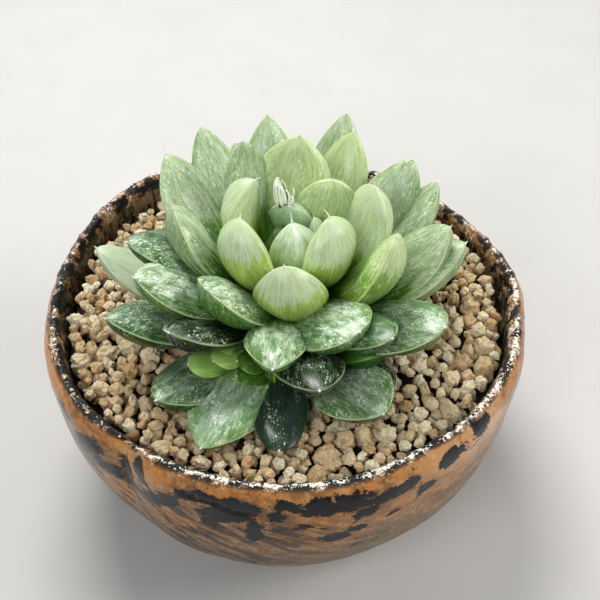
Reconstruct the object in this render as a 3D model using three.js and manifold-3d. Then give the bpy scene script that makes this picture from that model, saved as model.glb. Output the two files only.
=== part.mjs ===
// Potted haworthia: a glazed bowl, its bed of gravel, a short stem and a rosette of plump pointed leaves.
// Millimetres, +Z up. The origin is the middle of the foot ring, on the surface that the bowl stands on.

import * as THREE from 'three';
import { mergeVertices } from 'three/addons/utils/BufferGeometryUtils.js';
import Module from 'manifold-3d';

const wasm = await Module();
wasm.setup();

// Driving dimensions
const BOWL_RADIUS = 60;
const BOWL_HEIGHT = 56;
const FOOT_RADIUS = 33;
const FOOT_WIDTH = 5;
const FOOT_RECESS = 2.5;
const DRAIN_RADIUS = 4.5;
const FLOOR = 7.5;
const SCREEN_RADIUS = 9;
const SCREEN_THICK = 0.8;
const SCREEN_HOLE = 1;
const GAP = 0.3;

const SOIL_LEVEL = 49.8;
const SOIL_DOME = 1.2;
const PEBBLE_PITCH = 8.2;
const PEBBLE_RISE = 1.6;
const PEBBLE_TILT = 0.6;
const PEBBLE_DIP = 1.2;
const PEBBLE_SHIFT = 0.24;
const PEBBLE_SHARE = 0.58;
const BARE_RADIUS = 35;

const STEM_BASE = 38;
const STEM_TOP = 76;
const STEM_SIDES = 10;

const AWN_LENGTH = 2.6;
const AWN_RADIUS = 0.42;

const RAD = Math.PI / 180;

// Finishes
const finish = {
  glaze: new THREE.MeshStandardMaterial({ color: 0x8a4a26, roughness: 0.25, metalness: 0 }),
  gravel: new THREE.MeshStandardMaterial({ color: 0xb99670, roughness: 0.95, metalness: 0 }),
  mesh: new THREE.MeshStandardMaterial({ color: 0x1c1c1e, roughness: 0.6, metalness: 0 }),
  stem: new THREE.MeshStandardMaterial({ color: 0x7d8a4c, roughness: 0.7, metalness: 0 }),
  inner: new THREE.MeshStandardMaterial({ color: 0x9dbf74, roughness: 0.4, metalness: 0 }),
  middle: new THREE.MeshStandardMaterial({ color: 0x6f9c58, roughness: 0.4, metalness: 0 }),
  outer: new THREE.MeshStandardMaterial({ color: 0x466f45, roughness: 0.4, metalness: 0 }),
  pup: new THREE.MeshStandardMaterial({ color: 0x3f7d2c, roughness: 0.3, metalness: 0 }),
  bud: new THREE.MeshStandardMaterial({ color: 0xd5e3bd, roughness: 0.5, metalness: 0 }),
};

// Turn a closed geometry into a solid and back
function solidOf(geometry) {
  const bare = geometry.index ? geometry.toNonIndexed() : geometry.clone();
  bare.deleteAttribute('normal');
  bare.deleteAttribute('uv');
  const merged = mergeVertices(bare, 1e-4);
  return new wasm.Manifold(new wasm.Mesh({
    numProp: 3,
    vertProperties: new Float32Array(merged.attributes.position.array),
    triVerts: new Uint32Array(merged.index.array),
  }));
}

function geometryOf(solid) {
  const mesh = solid.getMesh();
  const geometry = new THREE.BufferGeometry();
  geometry.setAttribute('position', new THREE.BufferAttribute(new Float32Array(mesh.vertProperties), 3));
  geometry.setIndex(new THREE.BufferAttribute(new Uint32Array(mesh.triVerts), 1));
  return geometry;
}

function geometryFrom(points, index) {
  const geometry = new THREE.BufferGeometry();
  const places = points.flatMap((p) => p.toArray());
  geometry.setAttribute('position', new THREE.Float32BufferAttribute(places, 3));
  geometry.setIndex(index);
  return geometry;
}

// The largest of the bodies that a cut leaves
function largestBody(solid) {
  const bodies = solid.decompose();
  bodies.sort((a, b) => b.volume() - a.volume());
  return bodies[0];
}

// A closed skin over a stack of rings, with a point or a flat fan at either end
function ringSkin(rings, startPoint, endPoint) {
  const points = rings.flat();
  const sides = rings[0].length;
  const index = [];
  for (let row = 0; row + 1 < rings.length; row += 1) {
    for (let i = 0; i < sides; i += 1) {
      const a = row * sides + i;
      const b = row * sides + (i + 1) % sides;
      index.push(a, b, b + sides, a, b + sides, a + sides);
    }
  }
  const start = points.push(startPoint) - 1;
  const end = points.push(endPoint) - 1;
  const last = (rings.length - 1) * sides;
  for (let i = 0; i < sides; i += 1) {
    const j = (i + 1) % sides;
    index.push(start, j, i);
    index.push(end, last + i, last + j);
  }
  return geometryFrom(points, index);
}

function polar(azimuth, radius, height) {
  return new THREE.Vector3(radius * Math.cos(azimuth * RAD), radius * Math.sin(azimuth * RAD), height);
}

// The stem: a short blunt cone that the leaves are seated round
const stemProfile = [[6, STEM_BASE], [9, 44], [11, 51], [10.5, 58], [8, 65], [5, 71], [2.5, STEM_TOP]];

function stemRadius(height) {
  for (let i = 0; i + 1 < stemProfile.length; i += 1) {
    const [r0, z0] = stemProfile[i];
    const [r1, z1] = stemProfile[i + 1];
    if (height <= z1) {
      return r0 + (r1 - r0) * Math.max(0, height - z0) / (z1 - z0);
    }
  }
  return stemProfile[stemProfile.length - 1][0];
}

function stemSolid(grow) {
  const rings = stemProfile.map(([radius, height]) => {
    const ring = [];
    for (let i = 0; i < STEM_SIDES; i += 1) {
      ring.push(polar(i * 360 / STEM_SIDES, radius + grow, height));
    }
    return ring;
  });
  rings[0].forEach((p) => { p.z -= grow; });
  rings[rings.length - 1].forEach((p) => { p.z += grow; });
  const bottom = new THREE.Vector3(0, 0, rings[0][0].z);
  const top = new THREE.Vector3(0, 0, rings[rings.length - 1][0].z);
  return solidOf(ringSkin(rings, bottom, top));
}

// A leaf: a curved spine, a lens section with a keel below, widest past the middle, a bristle at the tip
const LEAF_STEPS = [0, 0.24, 0.46, 0.66, 0.83, 0.95, 1];
const LOW_LEAF_STEPS = [0, 0.26, 0.5, 0.74, 0.92, 1];
const SHORT_STEPS = [0, 0.35, 0.65, 0.88, 1];
const LEAF_WIDEST = 0.6;
const ROOT_SHARE = 0.3;
const ROOT_THICK = 0.45;
const FACE_SHARE = 0.38;
const THICK_BASE = 1;
const THICK_SHARE = 0.45;
const THICK_LIMIT = 8.4;

function widthShare(t, point) {
  if (t < LEAF_WIDEST) {
    return ROOT_SHARE + (1 - ROOT_SHARE) * Math.sin(Math.PI / 2 * t / LEAF_WIDEST);
  }
  const s = (t - LEAF_WIDEST) / (1 - LEAF_WIDEST);
  return Math.pow(1 - s * s, point);
}

function thickShare(t) {
  if (t < LEAF_WIDEST) {
    return ROOT_THICK + (1 - ROOT_THICK) * Math.sin(Math.PI / 2 * t / LEAF_WIDEST);
  }
  const s = (t - LEAF_WIDEST) / (1 - LEAF_WIDEST);
  return Math.pow(1 - s * s * s, 0.8);
}

function leafGeometry(leaf, grow) {
  const { root, tip } = leaf;
  const chord = tip.clone().sub(root);
  const facing = polar(leaf.azimuth, 1, 0);
  const level = new THREE.Vector3(0, 0, 1).cross(facing);
  const away = level.clone().cross(chord).normalize();
  const bend = root.clone().add(tip).multiplyScalar(0.5).addScaledVector(away, 2 * leaf.bow);
  const spine = new THREE.QuadraticBezierCurve3(root, bend, tip);
  const rings = leaf.steps.map((t) => {
    const middle = spine.getPoint(t);
    const along = spine.getTangent(t);
    const side = level.clone().addScaledVector(along, -level.dot(along)).normalize();
    side.applyAxisAngle(along, leaf.roll * RAD);
    const up = along.clone().cross(side).normalize();
    const half = Math.max(leaf.width / 2 * widthShare(t, leaf.point), AWN_RADIUS) + grow;
    const thick = Math.max(leaf.thick * thickShare(t), AWN_RADIUS * 2) + grow;
    const ring = [];
    for (let i = 0; i < leaf.sides; i += 1) {
      const angle = i * 2 * Math.PI / leaf.sides;
      const across = Math.cos(angle) * half;
      const rise = Math.sin(angle) * thick * (Math.sin(angle) > 0 ? FACE_SHARE : 1 - FACE_SHARE);
      ring.push(middle.clone().addScaledVector(side, across).addScaledVector(up, rise));
    }
    return ring;
  });
  rings[0].forEach((p) => p.addScaledVector(spine.getTangent(0), -grow));
  const point = tip.clone().addScaledVector(spine.getTangent(1), AWN_LENGTH + grow);
  const heel = root.clone().addScaledVector(spine.getTangent(0), -grow);
  return ringSkin(rings, heel, point);
}

// name, azimuth, reach and height of the tip, turn and height of the root, width, bow, roll, point, finish
const upperLeafTable = [
  ['e', -131, 14.6, 89, 38, 66, 16.5, 4, 0, 0.7, 'inner'],
  ['d', -46, 14.6, 89, 0, 66, 16.5, 4, 0, 0.7, 'inner'],
  ['f', -70, 5.4, 83, 0, 63, 12.5, 0.5, 0, 0.8, 'inner'],
  ['heart_a', 68, 3, 81.5, 0, 66, 12, 0.5, 0, 0.5, 'outer'],
  ['heart_b', -5, 7, 80.5, 0, 68, 7, 1, 0, 0.6, 'outer'],
  ['c', 152, 8, 88, 15, 67, 15, 4, 0, 0.8, 'inner'],
  ['b', 24, 12.4, 87.3, 32, 67, 14.5, 2, 60, 0.5, 'inner'],
  ['a', 80, 21, 89, 24, 65, 19, 4, 0, 0.8, 'inner'],
  ['q', -1, 21, 89, 0, 64, 18, 4, 25, 0.5, 'inner'],
  ['h', 119, 21, 89, 0, 63, 13, 4, 0, 0.7, 'inner'],
  ['g', -89.3, 22, 84.5, 26, 62, 16.9, 4, 0, 0.6, 'inner'],
  ['u', -30.5, 28.8, 86.7, 0, 60, 18.4, 4, 8, 0.7, 'inner'],
  ['n', -166, 25.6, 87.9, 0, 60, 18, 2, 0, 0.7, 'middle'],
  ['k', 60, 34, 84, 0, 60, 15, 5, 0, 0.7, 'inner'],
  ['o', 34, 38, 81.6, 0, 57, 15, 4, 30, 0.7, 'middle'],
  ['m', 141, 38, 81.5, 20, 56, 17, 2, 0, 0.8, 'middle'],
  ['l', 123, 39.4, 83, -4, 58, 14, 4, 0, 0.7, 'middle'],
  ['behind_h', 111, 36, 78, 0, 57, 14, 4, 0, 0.7, 'middle'],
  ['i', 97, 39, 83, 0, 58, 15, 5, 0, 0.8, 'middle'],
  ['j', 67, 40, 84.7, 0, 57, 15, 5, 0, 0.8, 'middle'],
  ['aa', -125, 29.5, 80, 25, 59, 17, 1, -15, 0.5, 'middle'],
  ['s', -6, 38.6, 80.7, 0, 56, 16, 4, 20, 0.7, 'middle'],
  ['cc', -63, 36.6, 75, -24, 58.5, 18.5, 0, 18, 0.45, 'middle'],
  ['v', -147, 39, 80.5, 0, 60, 17, 1, -15, 0.7, 'middle'],
  ['x', -163, 37, 82, -10, 61, 15, -1, 0, 0.7, 'middle'],
  ['p', 43, 40.5, 75.5, 0, 56, 14, 4, 10, 0.7, 'middle'],
  ['r', 24, 41, 78, 0, 55, 14, 5, 0, 0.7, 'middle'],
  ['t', -5, 42.6, 75.6, 0, 54, 16, 3.5, 0, 0.7, 'outer'],
  ['bb', -93, 41, 72, 0, 56, 14.5, -2, 0, 0.8, 'outer'],
  ['z', -127, 41, 75, 0, 56.5, 13.5, 2, 0, 0.6, 'outer'],
];

const lowerLeafTable = [
  ['dd', -55, 41, 74, 0, 55, 13.5, 0, 12, 0.5, 'outer'],
  ['w', 180, 45, 71, 0, 53, 15, 3, 0, 0.7, 'outer'],
  ['y', -151, 46, 69, 0, 53, 17, 1.5, 0, 0.8, 'outer'],
  ['ee', -37, 45, 71, 0, 53, 18, 1, 10, 0.5, 'outer'],
  ['ff', -80, 45, 69, 0, 52, 16, 0, 0, 0.7, 'outer'],
  ['hh', -50, 35, 62, 0, 52, 14, 1, 0, 0.7, 'outer'],
  ['gg', -62.5, 47.5, 59, 0, 50, 18.5, 2, 12, 0.7, 'outer'],
  ['jj', -111, 50.5, 53.5, 14, 54, 19.5, 0.5, 0, 0.8, 'outer'],
  ['kk', -127, 47, 58.5, 0, 53, 17, 3, 0, 0.7, 'outer'],
  ['ll', -91, 49, 55, 0, 53, 12.5, 1, 0, 0.4, 'outer'],
  ['ii', -51, 40, 55.5, 0, 53, 12, 1, 0, 0.7, 'outer'],
  ['back_a', 10, 44, 65, 0, 53, 14, 3, 0, 0.7, 'outer'],
  ['back_b', 45, 46, 65, 0, 53, 15, 3, 0, 0.7, 'outer'],
  ['back_c', 82, 46, 67, 0, 54, 15, 3, 0, 0.7, 'outer'],
  ['back_d', 112, 47, 66, 0, 53, 15, 3, 0, 0.7, 'outer'],
  ['back_e', 138, 41, 62, 0, 53, 15, 3, 0, 0.7, 'outer'],
  ['back_f', 28, 48, 57, 0, 53, 14, 2, 0, 0.7, 'outer'],
  ['back_g', 66, 48, 57, 0, 53, 15, 2, 0, 0.7, 'outer'],
  ['back_h', 130, 44, 57, 0, 53, 15, 2, 0, 0.7, 'outer'],
  ['back_i', 168, 42, 57, 0, 53, 13, 2, 0, 0.7, 'outer'],
];

function leafPiece(row, sides, steps) {
  const [name, azimuth, reach, height, turn, rootHeight, width, bow, roll, point, material] = row;
  const shape = {
    azimuth,
    root: polar(azimuth + turn, Math.max(stemRadius(rootHeight) - 1, 1), rootHeight),
    tip: polar(azimuth, reach, height),
    width,
    thick: Math.min(THICK_BASE + THICK_SHARE * width, THICK_LIMIT),
    bow,
    roll,
    point,
    sides,
    steps,
  };
  const solid = (grow) => solidOf(leafGeometry(shape, grow));
  return { name: `leaf_${name}`, solid, material: finish[material] };
}

// An offset: short plump leaves stacked on a round crown
const pupCrowns = {
  pup_left: {
    crown: [-11.5, -22, 56.5],
    radius: 3.6,
    // root x, y, z, tip x, y, z, width
    leaves: [
      [-12, -24, 56.5, -22, -26.8, 58.8, 8.5],
      [-9.5, -22.8, 59.4, -16, -27.4, 60.6, 7.5],
      [-10, -21, 59.5, -16.2, -23.2, 63.4, 8],
      [-11.5, -22.5, 53, -19.5, -25.2, 52.6, 7],
    ],
  },
  pup_right: {
    crown: [-2.2, -26.2, 56.2],
    radius: 3.6,
    leaves: [
      [-2.5, -25.5, 59, -10.6, -27.2, 60.4, 7.5],
      [-1.5, -26.5, 56, -10.8, -28.4, 56.6, 8],
      [-1, -27.5, 53, -9, -29.8, 53.2, 7.5],
    ],
  },
};

const pupLeafForm = { bow: 0.6, roll: 0, point: 0.45, sides: 6, steps: SHORT_STEPS };

function pupSolid({ crown, radius, leaves }, grow) {
  const ball = new THREE.IcosahedronGeometry(radius + grow, 1).translate(...crown);
  return leaves.reduce((body, [rootX, rootY, rootZ, x, y, z, width]) => {
    const root = new THREE.Vector3(rootX, rootY, rootZ);
    const tip = new THREE.Vector3(x, y, z);
    const azimuth = Math.atan2(y - rootY, x - rootX) / RAD;
    const shape = { root, tip, azimuth, width, thick: 0.45 * width, ...pupLeafForm };
    return body.add(solidOf(leafGeometry(shape, grow)));
  }, solidOf(ball));
}

// The bud in the heart: a short stalk and a bunch of thick pale bristles that bend over at the top
const BUD = {
  x: -0.2,
  y: 4.8,
  base: 74,
  neck: 80.4,
  radius: 1.4,
  lean: -0.5,
  thickness: 0.8,
};

// turn, swell, then the radius and the height of its end
const bristles = [
  [160, 3.4, 0.6, 88],
  [205, 3.6, 0.4, 87.6],
  [250, 3, 0.8, 87.2],
  [292, 2.6, 1, 86.4],
  [115, 2.8, 0.7, 87.6],
  [70, 2.4, 1.2, 86.6],
  [335, 3, 3, 83.6],
  [20, 3.2, 3.2, 84.2],
];

function budSolid(grow) {
  const centre = new THREE.Vector3(BUD.x, BUD.y, 0);
  const rings = [[0.8, BUD.base], [1, BUD.neck], [0.5, BUD.neck + 1]].map(([share, height]) => {
    const ring = [];
    for (let i = 0; i < bristles.length; i += 1) {
      ring.push(polar(i * 360 / bristles.length, BUD.radius * share + grow, height).add(centre));
    }
    return ring;
  });
  const foot = new THREE.Vector3(BUD.x, BUD.y, BUD.base - grow);
  const head = new THREE.Vector3(BUD.x, BUD.y, BUD.neck + 1.4 + grow);
  return bristles.reduce((body, [turn, swell, reach, height]) => {
    const end = polar(turn, reach, height).add(centre);
    end.x += BUD.lean;
    const curve = new THREE.QuadraticBezierCurve3(
      polar(turn, BUD.radius * 0.5, BUD.neck - 0.8).add(centre),
      polar(turn, swell, (BUD.neck + height) / 2 + 1).add(centre),
      end,
    );
    const threads = [0, 0.5, 0.8].map((t) => {
      const half = BUD.thickness / 2 * (1 - 0.3 * t) + grow;
      const ring = [];
      for (let k = 0; k < 3; k += 1) {
        ring.push(curve.getPoint(t).add(polar(turn + k * 120, half, 0)));
      }
      return ring;
    });
    return body.add(solidOf(ringSkin(threads, curve.getPoint(0), curve.getPoint(1))));
  }, solidOf(ringSkin(rings, foot, head)));
}

// The bowl, pinched by hand: the radius and the height of its rim change round it
const rimWaves = [[2, 0.4, 100], [3, 0.4, 20], [5, 0.3, 70]];
const rimDents = [[-128, 7, 1.8], [-6, 9, 0.9], [-58, 10, 0.8]];
const rimLifts = [[128, 26, 3.6], [40, 30, -1.2], [-128, 8, -1.4], [-90, 30, 0.6]];

function bumps(azimuth, list) {
  return list.reduce((sum, [centre, spread, size]) => {
    const away = ((azimuth - centre + 540) % 360) - 180;
    return sum + size * Math.exp(-away * away / (spread * spread));
  }, 0);
}

function rimScale(azimuth) {
  const wave = ([count, size, turn]) => size * Math.cos(count * (azimuth - turn) * RAD);
  const waves = rimWaves.reduce((sum, row) => sum + wave(row), 0);
  return 1 + (waves - bumps(azimuth, rimDents)) / BOWL_RADIUS;
}

function bowlPoint(azimuth, radius, height) {
  const share = THREE.MathUtils.smoothstep(height, 4, 46);
  const lift = bumps(azimuth, rimLifts) * THREE.MathUtils.smoothstep(height, 20, 56);
  return polar(azimuth, radius * (1 + (rimScale(azimuth) - 1) * share), height + lift);
}

const outerWall = [[FOOT_RADIUS, 0], [FOOT_RADIUS + 0.8, 2.5], [43, 5.5], [50.5, 12], [55.5, 21],
  [58.8, 31], [60.8, 42], [61.4, 50], [60.3, 54.4]];
const lip = [[58.2, BOWL_HEIGHT], [56.1, 54.6]];
const innerWall = [[55.4, 50], [55.2, 40], [51.5, 26], [45, 16], [36, 9.5], [12, FLOOR],
  [DRAIN_RADIUS, FLOOR]];
const FOOT_INSIDE = FOOT_RADIUS - FOOT_WIDTH;
const underside = [[DRAIN_RADIUS, FOOT_RECESS], [FOOT_INSIDE, FOOT_RECESS], [FOOT_INSIDE, 0]];
const BOWL_STEPS = 40;
const FILL_ABOVE = 8;

function turned(profile) {
  const points = [];
  const index = [];
  for (let step = 0; step < BOWL_STEPS; step += 1) {
    const azimuth = step * 360 / BOWL_STEPS;
    profile.forEach(([radius, height]) => points.push(bowlPoint(azimuth, radius, height)));
  }
  const rows = profile.length;
  for (let step = 0; step < BOWL_STEPS; step += 1) {
    for (let row = 0; row < rows; row += 1) {
      const a = step * rows + row;
      const b = step * rows + (row + 1) % rows;
      const c = ((step + 1) % BOWL_STEPS) * rows + row;
      const d = ((step + 1) % BOWL_STEPS) * rows + (row + 1) % rows;
      index.push(a, c, d, a, d, b);
    }
  }
  return geometryFrom(points, index);
}

const bowlGeometry = turned([...outerWall, ...lip, ...innerWall, ...underside]);

// The room inside the bowl, a little smaller than its wall
function roomInBowl() {
  const rings = [...innerWall].reverse().slice(1).map(([radius, height]) => {
    const ring = [];
    for (let step = 0; step < BOWL_STEPS; step += 1) {
      ring.push(bowlPoint(step * 360 / BOWL_STEPS, radius - 2 * GAP, height + GAP));
    }
    return ring;
  });
  const top = rings[rings.length - 1];
  rings.push(top.map((p) => new THREE.Vector3(p.x, p.y, p.z + FILL_ABOVE)));
  const low = new THREE.Vector3(0, 0, rings[0][0].z);
  const high = new THREE.Vector3(0, 0, rings[rings.length - 1][0].z);
  return solidOf(ringSkin(rings, low, high));
}

// A seeded draw, the same on every run
function makeRandom(seed) {
  let state = seed;
  return () => {
    state = (state * 1664525 + 1013904223) % 4294967296;
    return state / 4294967296;
  };
}

// The gravel: a honeycomb of shifted cells, each cell a pebble that stands out of the dips round it
function gravelBed() {
  const random = makeRandom(7);
  const points = [];
  const index = [];
  const corners = new Map();
  const reach = BOWL_RADIUS + 2;
  const put = (x, y, z) => points.push(new THREE.Vector3(x, y, z)) - 1;
  const level = (x, y) => SOIL_LEVEL + SOIL_DOME * (1 - Math.hypot(x, y) / BOWL_RADIUS);
  const corner = (x, y) => {
    const key = `${Math.round(x * 4)},${Math.round(y * 4)}`;
    if (!corners.has(key)) {
      const bare = Math.hypot(x, y) < BARE_RADIUS;
      const shift = bare ? 0 : PEBBLE_PITCH * PEBBLE_SHIFT;
      const sink = bare ? PEBBLE_DIP / 2 : PEBBLE_DIP * (0.6 + random());
      const px = x + (random() - 0.5) * 2 * shift;
      const py = y + (random() - 0.5) * 2 * shift;
      corners.set(key, put(px, py, level(x, y) - sink));
    }
    return corners.get(key);
  };
  const edges = new Map();
  const face = (a, b, c) => {
    index.push(a, b, c);
    [[a, b], [b, c], [c, a]].forEach(([p, q]) => {
      if (!edges.delete(`${q},${p}`)) {
        edges.set(`${p},${q}`, [p, q]);
      }
    });
  };
  const side = PEBBLE_PITCH / Math.sqrt(3);
  const count = Math.ceil(reach / PEBBLE_PITCH) + 1;
  for (let row = -count; row <= count; row += 1) {
    for (let column = -count; column <= count; column += 1) {
      const cx = (column + (row % 2 ? 0.5 : 0)) * PEBBLE_PITCH;
      const cy = row * side * 1.5;
      if (Math.hypot(cx, cy) < reach) {
        const ring = [];
        for (let k = 0; k < 6; k += 1) {
          ring.push(corner(cx + side * Math.sin(k * 60 * RAD), cy + side * Math.cos(k * 60 * RAD)));
        }
        ring.reverse();
        if (Math.hypot(cx, cy) < BARE_RADIUS) {
          for (let k = 1; k < 5; k += 1) {
            face(ring[0], ring[k], ring[k + 1]);
          }
        } else {
          const middle = ring.reduce((sum, i) => sum.add(points[i]), new THREE.Vector3()).divideScalar(6);
          const height = level(cx, cy) + PEBBLE_RISE * (random() - 0.3);
          const crown = ring.map((i) => {
            const size = PEBBLE_SHARE + 0.2 * random();
            const x = middle.x + (points[i].x - middle.x) * size;
            const y = middle.y + (points[i].y - middle.y) * size;
            return put(x, y, height + (random() - 0.5) * PEBBLE_TILT);
          });
          for (let k = 0; k < 6; k += 1) {
            const next = (k + 1) % 6;
            face(ring[k], ring[next], crown[next]);
            face(ring[k], crown[next], crown[k]);
          }
          for (let k = 1; k < 5; k += 1) {
            face(crown[0], crown[k], crown[k + 1]);
          }
        }
      }
    }
  }
  const floor = new Map();
  const under = (i) => {
    if (!floor.has(i)) {
      floor.set(i, put(points[i].x, points[i].y, 0));
    }
    return floor.get(i);
  };
  const middle = put(0, 0, 0);
  [...edges.values()].forEach(([p, q]) => {
    index.push(q, p, under(p), q, under(p), under(q));
    index.push(middle, under(q), under(p));
  });
  return solidOf(geometryFrom(points, index));
}

// The screen over the drain hole: a thin disc with seven small holes
function drainScreen() {
  const disc = new THREE.Shape().absarc(0, 0, SCREEN_RADIUS, 0, 2 * Math.PI);
  const spots = [polar(0, 0, 0)];
  for (let i = 0; i < 6; i += 1) {
    spots.push(polar(i * 60, SCREEN_HOLE * 3, 0));
  }
  spots.forEach(({ x, y }) => {
    disc.holes.push(new THREE.Path().absarc(x, y, SCREEN_HOLE, 0, 2 * Math.PI, true));
  });
  const cut = { depth: SCREEN_THICK, bevelEnabled: false, curveSegments: 4 };
  const plate = new THREE.ExtrudeGeometry(disc, cut);
  return plate.translate(0, 0, FLOOR + GAP);
}

function screenRoom() {
  const height = SCREEN_THICK + 2 * GAP;
  const disc = new THREE.CylinderGeometry(SCREEN_RADIUS + GAP, SCREEN_RADIUS + GAP, height + 1, 16);
  return solidOf(disc.rotateX(Math.PI / 2).translate(0, 0, FLOOR + (height - 1) / 2));
}

// Everything that grows, from the heart outwards: each piece gives way to those before it
const growth = [
  { name: 'flower_bud', solid: budSolid, material: finish.bud },
  ...upperLeafTable.map((row) => leafPiece(row, 8, LEAF_STEPS)),
  ...Object.entries(pupCrowns).map(([name, pup]) => (
    { name, solid: (grow) => pupSolid(pup, grow), material: finish.pup })),
  ...lowerLeafTable.map((row) => leafPiece(row, 6, LOW_LEAF_STEPS)),
];

const group = new THREE.Group();

function add(name, geometry, material) {
  const mesh = new THREE.Mesh(geometry, material);
  mesh.name = name;
  group.add(mesh);
}

const rooms = [stemSolid(GAP)];
let soil = gravelBed().intersect(roomInBowl()).subtract(rooms[0]).subtract(screenRoom());

add('bowl', bowlGeometry, finish.glaze);
add('drain_screen', drainScreen(), finish.mesh);
add('stem', geometryOf(stemSolid(0)), finish.stem);
growth.forEach(({ name, solid, material }) => {
  const body = rooms.reduce((left, room) => left.subtract(room), solid(0));
  const room = solid(GAP);
  soil = soil.subtract(room);
  rooms.push(room);
  add(name, geometryOf(largestBody(body)), material);
});
add('soil', geometryOf(largestBody(soil)), finish.gravel);

export default group;
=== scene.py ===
"""Potted haworthia: a pinched glazed bowl, tan gravel and a rosette of plump leaves.

Lengths are in millimetres until a mesh is made; the scene is in metres, +Z up.
"""

import math
import random

import bmesh
import bpy
import numpy as np
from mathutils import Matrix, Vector, noise


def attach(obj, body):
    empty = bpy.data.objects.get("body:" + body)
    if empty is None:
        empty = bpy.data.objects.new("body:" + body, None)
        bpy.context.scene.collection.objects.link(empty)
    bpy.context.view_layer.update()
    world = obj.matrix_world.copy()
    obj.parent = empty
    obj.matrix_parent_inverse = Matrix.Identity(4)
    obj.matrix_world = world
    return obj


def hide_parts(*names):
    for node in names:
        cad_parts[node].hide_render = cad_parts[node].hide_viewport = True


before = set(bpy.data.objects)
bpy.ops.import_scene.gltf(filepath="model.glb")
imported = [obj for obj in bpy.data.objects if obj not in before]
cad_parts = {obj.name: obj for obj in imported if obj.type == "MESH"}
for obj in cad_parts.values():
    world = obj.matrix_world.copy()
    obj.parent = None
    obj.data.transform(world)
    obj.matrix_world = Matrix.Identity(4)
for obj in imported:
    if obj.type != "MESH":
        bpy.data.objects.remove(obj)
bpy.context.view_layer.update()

MM = 0.001
RAD = math.pi / 180

# Forms shared with the solids
BOWL_RADIUS = 60
BOWL_HEIGHT = 56
FOOT_RADIUS = 33
FOOT_INSIDE = 28
FOOT_RECESS = 2.5
DRAIN_RADIUS = 4.5
FLOOR = 7.5
GAP = 0.3
SOIL_LEVEL = 49.8
SOIL_DOME = 1.2
TIP_RADIUS = 0.3
BRISTLE_RADIUS = 0.21
LEAF_WIDEST = 0.6
ROOT_SHARE = 0.3
ROOT_THICK = 0.45
FACE_SHARE = 0.38
THICK_BASE = 1
THICK_SHARE = 0.45
THICK_LIMIT = 8.4

STEM_PROFILE = [(6, 38), (9, 44), (11, 51), (10.5, 58), (8, 65), (5, 71), (2.5, 76)]

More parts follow.
